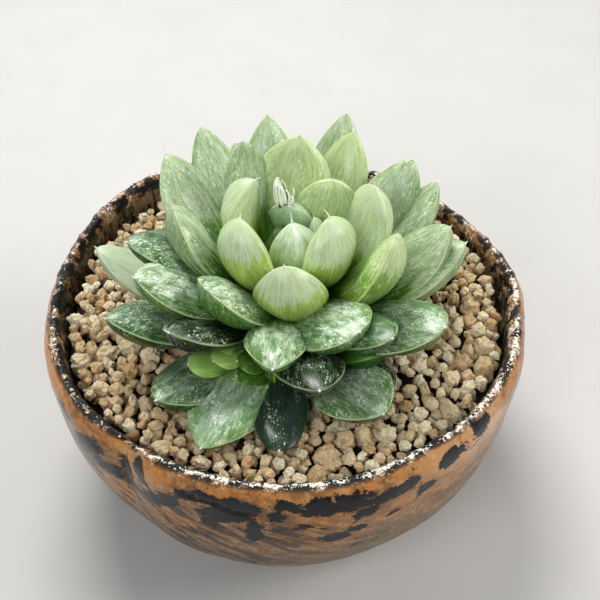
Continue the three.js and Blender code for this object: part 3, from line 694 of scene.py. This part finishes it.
# The dark green shoots between them: turn, swell, reach and height as above
BUD_SHOOTS = [
    (180, 1.8, 0.6, 85.6), (240, 1.9, 0.5, 85.2), (300, 1.8, 0.8, 84.6), (0, 1.6, 0.8, 84.8),
    (60, 1.5, 0.8, 85),
]

# Threads, material, thickness, share of the stalk's radius and depth they start at, rise of the swell
BUD_BUNCHES = [(BUD_BRISTLES, 1, 0.78, 0.5, 0.8, 1), (BUD_SHOOTS, 0, 1.5, 0.4, 1, 0.6)]
THREAD_SIDES = 10
THREAD_ROWS = 16
THREAD_TAPER = 0.65


def thread(curve, thickness):
    """A tapered round thread along three control points."""
    points = []
    for k in range(THREAD_ROWS):
        t = k / (THREAD_ROWS - 1)
        middle, along = curve_at(curve, t)
        side = unit(np.cross(along, (0.13, 0.27, 1)))
        up = np.cross(along, side)
        radius = thickness / 2 * (1 - THREAD_TAPER * t * t)
        for i in range(THREAD_SIDES):
            angle = 2 * math.pi * i / THREAD_SIDES
            points.append(middle + side * math.cos(angle) * radius + up * math.sin(angle) * radius)
    points += [curve[0], curve[2]]
    return points, tube_faces(THREAD_ROWS, THREAD_SIDES)


def build_bud():
    centre = np.array(BUD_PLACE)
    rows, sides = 14, 20
    stalk = []
    for k in range(rows):
        t = k / (rows - 1)
        height = BUD_BASE + t * (BUD_NECK + 1 - BUD_BASE)
        swell = 0.8 + 0.2 * smooth(t, 0.3, 0.85) - 0.5 * smooth(t, 0.88, 1)
        for i in range(sides):
            fold = 1 + 0.06 * math.cos(BUD_FOLDS * 2 * math.pi * i / sides + 2 * t)
            stalk.append(polar(i * 360 / sides, BUD_RADIUS * swell * fold, height) + centre)
    stalk += [centre + (0, 0, BUD_BASE), centre + (0, 0, BUD_NECK + 1.4)]
    faces = tube_faces(rows, sides)
    parts = [(stalk, faces, [0] * len(faces))]
    for threads, which, thickness, start, depth, rise in BUD_BUNCHES:
        for turn, swell, reach, height in threads:
            curve = (
                polar(turn, BUD_RADIUS * start, BUD_NECK - depth) + centre,
                polar(turn, swell, (BUD_NECK + height) / 2 + rise) + centre,
                polar(turn, reach, height) + centre + BUD_LEAN,
            )
            points, faces = thread(curve, thickness)
            parts.append((points, faces, [which] * len(faces)))
    points, faces, skin = joined(parts)
    green = mottled_skin("bud", 0.7, 3, (30, 50, 22), (64, 92, 48), 0.5, (0.3, 0.0003))
    make_piece("bud_bristles", points, faces, [green, bristle], "flower_bud", "bud", None, skin)


# Stem
def build_stem():
    sides, rows = 64, 60
    heights = np.linspace(STEM_PROFILE[0][1], STEM_PROFILE[-1][1], rows)
    points = []
    for height in heights:
        radius = stem_radius(height)
        for i in range(sides):
            azimuth = i * 360 / sides
            scale = 1 + 0.03 * math.sin(azimuth * RAD * 5 + height * 1.1)
            points.append(polar(azimuth, radius * scale, height))
    points += [polar(0, 0, heights[0]), polar(0, 0, heights[-1] + 0.4)]
    skin = mottled_skin("stem", 0.3, 4, (62, 92, 34), (98, 130, 58), 0.7, (0.5, 0.0005), stretch=3)
    make_piece("stem_core", points, tube_faces(rows, sides), [skin], "stem", "stem")


# The bowl. The rim's waves are number, size and turn; its dents and lifts azimuth, half width and size
PINCH = -128
RIM_WAVES = [(2, 0.4, 100), (3, 0.4, 20), (5, 0.3, 70)]
RIM_DENTS = [(PINCH, 7, 1.8), (-6, 9, 0.9), (-58, 10, 0.8)]
RIM_LIFTS = [(128, 26, 3.6), (40, 30, -1.2), (PINCH, 8, -1.4), (-90, 30, 0.6)]
BOWL_SIDES = 400
BOWL_PITCH = 0.85
BOWL_PROFILE = [
    (FOOT_RADIUS, 0), (FOOT_RADIUS + 0.8, 2.5), (43, 5.5), (50.5, 12), (55.5, 21), (58.8, 31),
    (60.8, 42), (61.4, 50), (60.3, 54.4), (58.2, BOWL_HEIGHT), (56.1, 54.6), (55.4, 50),
    (55.2, 40), (51.5, 26), (45, 16), (36, 9.5), (12, FLOOR), (DRAIN_RADIUS, FLOOR),
    (DRAIN_RADIUS, FOOT_RECESS), (FOOT_INSIDE, FOOT_RECESS), (FOOT_INSIDE, 0),
]


def bumps(azimuth, rows):
    return sum(size * np.exp(-((away_from(azimuth, centre) / spread) ** 2)) for centre, spread, size in rows)


def rim_scale(azimuth):
    waves = sum(size * np.cos(n * (azimuth - turn) * RAD) for n, size, turn in RIM_WAVES)
    return 1 + (waves - bumps(azimuth, RIM_DENTS)) / BOWL_RADIUS


def rim_lift(azimuth, height):
    return bumps(azimuth, RIM_LIFTS) * smooth(height, 20, BOWL_HEIGHT)


def bowl_point(azimuth, radius, height):
    scale = radius * (1 + (rim_scale(azimuth) - 1) * smooth(height, 4, 46))
    angle = azimuth * RAD
    return np.stack([scale * np.cos(angle), scale * np.sin(angle), height + rim_lift(azimuth, height)], -1)


def rounded(profile, rounds, share=0.25):
    """Corners cut again and again, which rounds a closed outline from inside."""
    points = np.array(profile, float)
    for _ in range(rounds):
        after = np.roll(points, -1, 0)
        cut = np.stack([points * (1 - share) + after * share, points * share + after * (1 - share)], 1)
        points = cut.reshape(-1, 2)
    return points


def evenly(points, pitch):
    """The closed outline with points about one pitch apart."""
    loop = np.vstack([points, points[:1]])
    length = np.concatenate([[0], np.cumsum(np.linalg.norm(np.diff(loop, axis=0), axis=1))])
    places = np.linspace(0, length[-1], int(length[-1] / pitch), endpoint=False)
    return np.stack([np.interp(places, length, loop[:, i]) for i in (0, 1)], 1)


# Black blotches of the glaze under the lip: azimuth, height, half its width in degrees, half its height
BLOTCHES = [
    (-107, 50.5, 5, 1.7), (-99, 49.8, 4.5, 2.3), (-102, 46.6, 5, 2.6), (-96, 41.5, 1.7, 4.2),
    (-88.5, 51.3, 3, 1.5), (-83, 50.3, 3, 2.7), (-76, 50.4, 5, 1.8), (-68, 49.2, 5, 1.9),
    (-62.5, 49.4, 2, 1.3), (-79, 37.2, 3, 1.5), (-52, 50.2, 2.8, 2.3), (-41, 52.6, 2.6, 1.9),
    (-138, 46.7, 4, 2.8), (-122, 49.5, 1.7, 3.6), (-119, 43, 2.6, 2.4), (-131, 41, 2, 3),
    (-127, 45.5, 2, 3), (-134, 42, 2.4, 2), (-143, 44, 2, 3), (-114, 46, 2, 1.6), (-91, 47.6, 1.6, 1.6),
    (-72, 46, 2, 1.4), (-86, 44.5, 1.6, 1.2), (-74, 40, 1.8, 1.1), (-66, 41, 1.6, 0.9), (-58, 44, 1.8, 1),
    (-105, 42, 2, 2), (-152, 41, 3, 2), (-148, 49, 3, 2),
]

# The crack in front: azimuth and height of its two ends
CRACK = ((-112, 50.9), (-94, 47.4))

SPECKS = [(0.75, 0.3), (1.5, 0.36)]
# How far the runs slant: their share of the way round and of the way up
RUN_SLANT = (0.84, 0.55)
GLAZE = {
    "umber": (118, 80, 42), "rust": (176, 122, 68), "sand": (208, 166, 120), "amber": (198, 128, 64),
    "clay": (84, 68, 50), "tan": (148, 122, 92), "run": (34, 31, 36), "pale_run": (158, 132, 96),
    "painted_sheen": (224, 190, 154), "black": (6, 5, 8), "blue_black": (22, 21, 30), "halo": (86, 50, 28),
    "speck": (40, 27, 20), "drip_dark": (26, 21, 20), "drip": (112, 92, 66), "drip_pale": (160, 142, 112),
    "soot": (16, 13, 14), "lip_black": (10, 8, 8), "lip_brown": (112, 74, 40), "lip_tan": (168, 128, 84),
    "foam_and_glints": (240, 236, 226), "crack": (8, 6, 8),
}


def glaze_skin():
    p = Paint("glaze")
    step, lay = p.step, p.lay
    place = p.place()
    x, y, z = p.split(place)
    # The lip, the wall inside, the blotches, the crack, the top of the lip, and the sides and back
    titles = ("band", "inside", "ink", "crack", "crest", "wild")
    band, inside, ink, crack, crest, wild = (p.field(title) for title in titles)
    cloud = p.noise(place, 0.045, 4, 0.55, 0.6)
    blot = p.noise(p.scaled(place, 1, 1, 1.35), 0.11, 5, 0.6, 1)
    patches = p.noise(p.scaled(place, 1, 1, 1.4), 0.12, 5, 0.62, 1.1)
    mottle = p.noise(place, 0.5, 4, 0.65, 0.4)
    ragged = p.noise(place, 0.9, 4, 0.7, 0.6)

    # Runs slant down to the right across the lower wall
    round_share, up_share = RUN_SLANT
    level = p.plus(p.product(x, 0.94), y, -0.34)
    with_run = p.plus(p.product(level, round_share), z, -up_share)
    over_run = p.plus(p.product(level, up_share), z, round_share)
    run = p.noise(p.join(p.product(with_run, 0.09), p.product(over_run, 0.42), 1), 1, 4, 0.6, 0.5)

    # Rust brown under the lip, duller and more tan towards the foot
    p.colour = p.mix(step(cloud, 0.35, 0.65), GLAZE["umber"], GLAZE["rust"])
    lay(GLAZE["sand"], step(mottle, 0.45, 0.72, 0, 0.5))
    lay(GLAZE["amber"], step(z, 49.5, 53), step(blot, 0.4, 0.6), 0.75)
    low = step(z, 46, 16)
    earth = p.mix(step(mottle, 0.35, 0.65), GLAZE["clay"], GLAZE["tan"])
    lay(earth, low, 0.85)
    left = p.product(step(y, 14, -14, 0.4, 1), step(x, 20, -4, 0.35, 1))
    streaks = p.product(step(run, 0.46, 0.54), step(z, 49, 43), step(z, 10, 20), left)
    lay(GLAZE["run"], streaks, step(mottle, 0.38, 0.52, 0.5, 0.92))
    lay(GLAZE["pale_run"], step(run, 0.42, 0.34), step(z, 45, 38), left, 0.5)
    # Paler tan patches high on the right wall: a painted sheen
    painted_sheen = p.product(step(x, 24, 54), step(z, 36, 50), step(cloud, 0.36, 0.6))
    lay(GLAZE["painted_sheen"], painted_sheen, 0.5)

    # Blue-black blotches with ragged edges, and a scatter of specks
    dark = p.plus(ink, ragged, 1, 0.5)
    dark = p.plus(dark, patches, 2.4, 0.48)
    dark = p.plus(dark, inside, 0.25)
    belt = p.product(step(z, 30, 41), step(z, 53.5, 49), 0.1)
    away = p.plus(p.plus(patches, belt), ragged, 0.16, 0.5)
    dark = p.math("MAXIMUM", dark, p.product(step(away, 0.53, 0.62), wild, 0.75))
    black = p.mix(step(mottle, 0.4, 0.62), GLAZE["black"], GLAZE["blue_black"])
    lay(GLAZE["halo"], step(dark, 0.3, 0.45, 0, 0.45))
    lay(black, step(dark, 0.42, 0.48))
    for scale, reach in SPECKS:
        draw, off = p.spots(place, scale)
        speck = step(p.math("SUBTRACT", p.plus(-0.06, draw, reach), off), -0.03, 0.03)
        lay(GLAZE["speck"], speck, step(blot, 0.36, 0.56, 0.1, 0.8))

    # Inside, brown and tan drips over black
    drips = p.noise(p.scaled(place, 0.5, 0.5, 0.1), 1, 4, 0.6, 0.3)
    deep = p.mix(step(drips, 0.44, 0.58), GLAZE["drip_dark"], GLAZE["drip"])
    deep = p.over(deep, GLAZE["drip_pale"], step(ragged, 0.52, 0.62, 0, 0.7))
    deep = p.over(deep, GLAZE["soot"], step(blot, 0.52, 0.6, 0, 0.8))
    lay(deep, inside)

    # The lip: the glaze breaks into foam, white and black over brown, and less white behind; its white is
    # partly painted glints
    foam_and_glints = p.noise(place, 1.3, 5, 0.72, 0.5)
    patch = p.noise(place, 0.22, 3, 0.6)
    brown = p.plus(p.plus(patch, mottle, 0.3), step(x, 25, 48), 0.05)
    earth = p.mix(step(ragged, 0.4, 0.62), GLAZE["lip_brown"], GLAZE["lip_tan"])
    lip = p.mix(step(brown, 0.65, 0.7), GLAZE["lip_black"], earth)
    behind = p.math("MAXIMUM", step(x, 0, -45), p.product(step(x, 20, 45), step(y, -5, 25)))
    white = p.plus(foam_and_glints, patch, 0.5, 0.5)
    # More white on the crest of the lip: a painted highlight
    white = p.plus(white, step(crest, 0.4, 1), 0.08)
    white = p.plus(white, behind, -0.06)
    lip = p.over(lip, GLAZE["foam_and_glints"], step(white, 0.55, 0.6))
    lay(lip, band)
    lay(GLAZE["crack"], crack)

    relief = p.plus(p.product(band, 1.8, foam_and_glints), p.noise(place, 1.3, 3, 0.6), 0.5)
    normal = p.bump(p.math("SUBTRACT", relief, crack), 0.5, 0.0007)
    normal = p.bump(p.noise(place, 2.2, 3, 0.6), 0.1, 0.0002, normal)
    dull = p.plus(step(mottle, 0.3, 0.7, 0.1, 0.22), low, 0.22)
    return p.surface(dull, normal, Coat_Weight=0.06, Coat_Roughness=0.05, Specular_IOR_Level=0.24)


def crack_share(azimuth, height):
    """How near a point of the outer wall is to the crack, 1 on it."""
    (start, high), (end, low) = CRACK
    turn = away_from(azimuth, 0)
    share = (turn - start) / (end - start)
    line = high + (low - high) * share + 0.35 * np.sin(turn * 0.9)
    ends = smooth(share, -0.02, 0.08) * (1 - smooth(share, 0.92, 1.02))
    return np.exp(-(((height - line) / 0.5) ** 2)) * ends


def build_bowl():
    profile = evenly(rounded(BOWL_PROFILE, 3), BOWL_PITCH)
    rows = len(profile)
    azimuth = np.repeat(np.arange(BOWL_SIDES) * 360 / BOWL_SIDES, rows)
    radius = np.tile(profile[:, 0], BOWL_SIDES)
    height = np.tile(profile[:, 1], BOWL_SIDES)
    lifted = height + rim_lift(azimuth, height)
    points = bowl_point(azimuth, radius, height)
    after = np.roll(profile, -1, 0) - np.roll(profile, 1, 0)
    out = np.stack([after[:, 1], -after[:, 0]], 1)
    out /= np.linalg.norm(out, axis=1)[:, None]
    out_r, out_z = np.tile(out[:, 0], BOWL_SIDES), np.tile(out[:, 1], BOWL_SIDES)
    angle = azimuth * RAD
    normal = np.stack([out_r * np.cos(angle), out_r * np.sin(angle), out_z], 1)

    # Broad waves in the wall, hand-made lumps, and froth on the lip
    lip = smooth(height, 51.5, 55)
    wall = smooth(height, 3, 10) * (radius > 30)
    waves = rough_field(points, 22, 1, 2) - 0.7
    lumps = rough_field(points, 5.5, 2, 3) - 0.6
    froth = rough_field(points, 1.9, 3, 3) - 0.5
    push = 0.45 * waves * wall * (1 - 0.4 * lip) + (0.16 + 0.2 * lip) * lumps * wall + 0.46 * froth * lip
    # A crease where the rim was pinched, and a crack below the lip in front
    outer = (out_r > 0.2) * smooth(height, 26, 44)
    push -= 1.3 * np.exp(-((away_from(azimuth, PINCH) / 1.7) ** 2)) * np.maximum(outer, lip * 0.8)
    crack = crack_share(azimuth, lifted) * (out_r > 0.3)
    push -= 0.3 * crack
    points = points + normal * push[:, None]
    points[:, 2] = np.maximum(points[:, 2], 0)

    faces = []
    for step in range(BOWL_SIDES):
        here, there = step * rows, ((step + 1) % BOWL_SIDES) * rows
        for row in range(rows):
            up = (row + 1) % rows
            faces.append((here + row, there + row, there + up, here + up))
    ink = np.zeros(len(points))
    for turn, level, wide, tall in BLOTCHES:
        away = away_from(azimuth, turn)
        ink = np.maximum(ink, np.exp(-0.6 * ((away / wide) ** 2 + ((lifted - level) / tall) ** 2) ** 1.3))
    maps = {
        "band": np.where(out_r > 0.35, smooth(height, 54.2, 55.1), smooth(height, 51.2, 53)),
        "inside": (out_r < 0) * smooth(height, 5, 9) * (radius > DRAIN_RADIUS + 1),
        "ink": ink * (out_r > 0),
        "crack": crack,
        "crest": smooth(height, 54.6, 55.8) * (out_r > -0.5),
        "wild": smooth(np.abs(away_from(azimuth, -92)), 70, 84) * (out_r > 0),
    }
    make_piece("bowl_stoneware", points, faces, [glaze_skin()], "bowl", "glaze", maps)


# The gravel
GRAVEL_SEED = 11
GRAIN_SIZES = [1.3, 1.55, 1.8, 2.05, 2.35, 2.8]
DEEP_GRAIN_SIZES = [1.4, 1.7, 2]
LARGE_GRAIN = 2.2
GRAIN_CUTS = 10
# The higher, the sharper the edges between the cuts
CUT_SHARPNESS = 60
GRAVEL_RADIUS = 57
WALL_RADIUS = 55.3
BED_TOP = 48
BED_SIDES = 120
BED_PROFILE = [
    (0.01, FLOOR + GAP), (12, FLOOR + GAP), (35.4, 9.8), (44.4, 16.3), (50.9, 26.3), (54.4, 40),
    (54.6, 46), (48, 46.6), (40, 47.2), (30, 47.6), (20, 47.8), (10, BED_TOP),
]
# The rusty grains lie round this place, at the left in front
RUST_PLACE = (-22, -22)
RUST_SPREAD = 320


def grain_skin():
    p = Paint("grain")
    step, lay = p.step, p.lay
    place = p.place()
    tone, warm = p.field("tone"), p.field("warm")
    cloud = p.noise(place, 0.7, 4, 0.6)
    pits = p.noise(place, 2.6, 4, 0.7)
    p.colour = p.mix(tone, (206, 172, 118), (255, 242, 204))
    lay((208, 144, 78), warm, 0.75)
    lay((255, 242, 212), step(cloud, 0.42, 0.7, 0, 0.4))
    lay((112, 82, 48), step(pits, 0.44, 0.34, 0, 0.7))
    normal = p.bump(pits, 1, 0.0008)
    normal = p.bump(cloud, 0.4, 0.0006, normal)
    return p.surface(0.92, normal, Specular_IOR_Level=0.25)


def soil_height(x, y):
    return SOIL_LEVEL + SOIL_DOME * (1 - np.hypot(x, y) / BOWL_RADIUS)


def build_bed():
    """The filling below the loose grains, which follows the wall inside."""
    points = []
    for radius, height in BED_PROFILE:
        for i in range(BED_SIDES):
            points.append(bowl_point(np.float64(i * 360 / BED_SIDES), radius, height))
    points = np.array(points)
    points += np.stack([rough_field(points, 3, seed) for seed in (5, 6, 7)], 1) * 0.2
    points = np.vstack([points, [[0, 0, FLOOR + GAP], [0, 0, BED_TOP]]])
    return points, tube_faces(len(BED_PROFILE), BED_SIDES)


def grain_ball(level):
    form = bmesh.new()
    bmesh.ops.create_icosphere(form, subdivisions=level, radius=1)
    points = np.array([v.co for v in form.verts])
    faces = [tuple(v.index for v in f.verts) for f in form.faces]
    form.free()
    return points, faces


def grain_points(ball, draw):
    """A broken lump: a ball cut by planes with barely worn edges, stretched and turned."""
    planes = ball @ np.array([unit(draw.normal(size=3)) for _ in range(GRAIN_CUTS)]).T
    reach = draw.uniform(0.58, 0.95, GRAIN_CUTS)
    share = np.maximum(planes, 0) / reach
    rough = 0.81 + 0.38 * rough_field(ball * 3, 1.9, draw.uniform(1, 90), 3)
    total = np.sum(share**CUT_SHARPNESS, 1) + np.power(rough, -CUT_SHARPNESS)
    made = ball * np.power(total, -1 / CUT_SHARPNESS)[:, None]
    made += ball * (rough_field(made * 3, 0.8, draw.uniform(1, 90), 2) * 0.08)[:, None]
    made *= 1.14 * draw.uniform(0.72, 1.2, 3)
    spin = np.linalg.qr(draw.normal(size=(3, 3)))[0]
    if np.linalg.det(spin) < 0:
        spin[:, 0] *= -1
    return made @ spin.T


def scatter(draw, tries, sizes, spacing, room):
    """Places for grains, none nearer to another or to the wall than the spacing and the room allow."""
    placed = np.zeros((0, 3))
    for _ in range(tries):
        azimuth, radius = draw.uniform(0, 360), GRAVEL_RADIUS * math.sqrt(draw.uniform(0.12, 1))
        size = draw.choice(sizes) * draw.uniform(0.85, 1.15)
        if radius > WALL_RADIUS * rim_scale(azimuth) - room * size:
            continue
        x, y = radius * math.cos(azimuth * RAD), radius * math.sin(azimuth * RAD)
        away = np.hypot(placed[:, 0] - x, placed[:, 1] - y)
        if np.any(away < spacing * (placed[:, 2] + size)):
            continue
        placed = np.vstack([placed, [x, y, size]])
    return placed


def low_leaves():
    """Points of the leaves that come near the gravel."""
    meshes = [piece for piece in bpy.context.scene.objects if piece.type == "MESH"]
    leaves = [piece.data for piece in meshes if piece.name.startswith(("blade_", "pup_"))]
    points = np.array([vertex.co for leaf in leaves for vertex in leaf.vertices]) / MM
    return points[points[:, 2] < 58]


def gather(placed, balls, drop, draw, leaves, first):
    """Grains at their places: points, faces, tone and warmth. First is the number of points before them."""
    grains = []
    for x, y, size in placed:
        ball, faces = balls[size > LARGE_GRAIN]
        height = soil_height(x, y) + drop + draw.uniform(-0.5, 0.5) - 0.35 * size + 1.1
        lump = grain_points(ball, draw) * size
        # A grain under a leaf sinks below it
        near = np.hypot(leaves[:, 0] - x, leaves[:, 1] - y) < size * 1.05
        if near.any():
            height = min(height, leaves[near, 2].min() - size * 0.9)
        if height < 45 - size:
            continue
        rust = math.exp(-((x - RUST_PLACE[0]) ** 2 + (y - RUST_PLACE[1]) ** 2) / RUST_SPREAD)
        tone = np.full(len(lump), np.clip(draw.normal(0.55, 0.33), 0, 1))
        hue = draw.uniform(0, 1) ** 4 * 0.6 + rust * draw.uniform(0, 0.9)
        grains.append((lump + (x, y, height), faces, tone, np.full(len(lump), min(hue, 1))))
    return joined(grains, first)


def build_gravel():
    draw = np.random.default_rng(GRAVEL_SEED)
    leaves = low_leaves()
    skin = grain_skin()
    top = scatter(draw, tries=16000, sizes=GRAIN_SIZES, spacing=0.83, room=0.95)
    large = top[:, 2] > LARGE_GRAIN
    balls = (grain_ball(3), grain_ball(4))
    for name, placed in (("gravel_small", top[~large]), ("gravel_large", top[large])):
        points, faces, tone, warm = gather(placed, balls, 0, draw, leaves, 0)
        make_piece(name, points, faces, [skin], "soil", "gravel", {"tone": tone, "warm": warm}, soft=False)
    deep = scatter(draw, tries=9000, sizes=DEEP_GRAIN_SIZES, spacing=0.8, room=0.9)
    bed_points, bed_faces = build_bed()
    rough = (grain_ball(2), grain_ball(3))
    points, faces, tone, warm = gather(deep, rough, -2.1, draw, leaves, len(bed_points))
    none = np.zeros(len(bed_points))
    bed_skin = mottled_skin("bed", 0.6, 4, (16, 11, 8), (44, 31, 20), 0.95, (0.8, 0.001))
    make_piece(
        "gravel_bed", np.vstack([bed_points, points]), bed_faces + faces, [skin, bed_skin], "soil", "gravel",
        {"tone": np.concatenate([none, tone]), "warm": np.concatenate([none, warm])},
        [1] * len(bed_faces) + [0] * len(faces), soft=False,
    )


def dress_screen():
    """The screen over the drain hole keeps its solid and gets a dark plastic skin."""
    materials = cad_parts["drain_screen"].data.materials
    materials.clear()
    materials.append(
        mottled_skin("screen", 1.5, 2, (20, 20, 22), (44, 44, 46), 0.55, (0.2, 0.0002), steps=None)
    )


# Floor, light and camera
FLOOR_REACH = 3
# Each light: name, place, size, watts and colour
LIGHTS = [
    ("key", (-0.12, 0.34, 0.6), 0.36, 5.3, (1.0, 0.99, 0.97)),
    ("side", (0.62, -0.05, 0.42), 0.36, 3.3, (1.0, 0.98, 0.95)),
    ("front", (-0.3, -0.55, 0.55), 0.45, 3.2, (0.98, 0.99, 1.0)),
]
LIGHT_AIM = Vector((0, 0, 0.06))
SKY_COLOUR = (0.86, 0.93, 1.0, 1)
SKY_STRENGTH = 0.27
CAMERA_TARGET = (3.7, 0, 54)
CAMERA_RISE = 43
CAMERA_AWAY = 280
# Focal length in widths of the picture
CAMERA_FOCUS = 1120 / 600
SENSOR = 36


def build_stage():
    corners = [(-1, -1), (1, -1), (1, 1), (-1, 1)]
    mesh = bpy.data.meshes.new("floor")
    mesh.from_pydata([(x * FLOOR_REACH, y * FLOOR_REACH, 0) for x, y in corners], [], [(0, 1, 2, 3)])
    mesh.materials.append(mottled_skin("floor", 0.03, 4, (180, 178, 175), (190, 188, 185), 0.8, steps=None))
    floor = bpy.data.objects.new("floor", mesh)
    bpy.context.scene.collection.objects.link(floor)


def build_light():
    world = bpy.data.worlds.new("studio")
    world.use_nodes = True
    sky = world.node_tree.nodes["Background"]
    sky.inputs[0].default_value = SKY_COLOUR
    sky.inputs[1].default_value = SKY_STRENGTH
    bpy.context.scene.world = world
    for name, place, size, watts, colour in LIGHTS:
        light = bpy.data.lights.new(name, "AREA")
        light.shape = "DISK"
        light.size = size
        light.energy = watts
        light.color = colour
        lamp = bpy.data.objects.new(name, light)
        lamp.location = place
        lamp.rotation_euler = (LIGHT_AIM - Vector(place)).to_track_quat("-Z", "Y").to_euler()
        bpy.context.scene.collection.objects.link(lamp)
    view = bpy.context.scene.view_settings
    view.view_transform = "Standard"
    view.look = "None"


def build_camera():
    camera = bpy.data.cameras.new("camera")
    camera.sensor_width = SENSOR
    camera.lens = CAMERA_FOCUS * SENSOR
    camera.clip_start = 0.01
    camera.clip_end = 20
    eye = bpy.data.objects.new("camera", camera)
    back = Vector((0, -math.cos(CAMERA_RISE * RAD), math.sin(CAMERA_RISE * RAD)))
    eye.location = (Vector(CAMERA_TARGET) + back * CAMERA_AWAY) * MM
    eye.rotation_euler = (-back).to_track_quat("-Z", "Y").to_euler()
    bpy.context.scene.collection.objects.link(eye)
    bpy.context.scene.camera = eye


build_camera()
build_light()
build_stage()
build_leaves()
build_pups()
build_bud()
build_stem()
build_bowl()
build_gravel()
dress_screen()
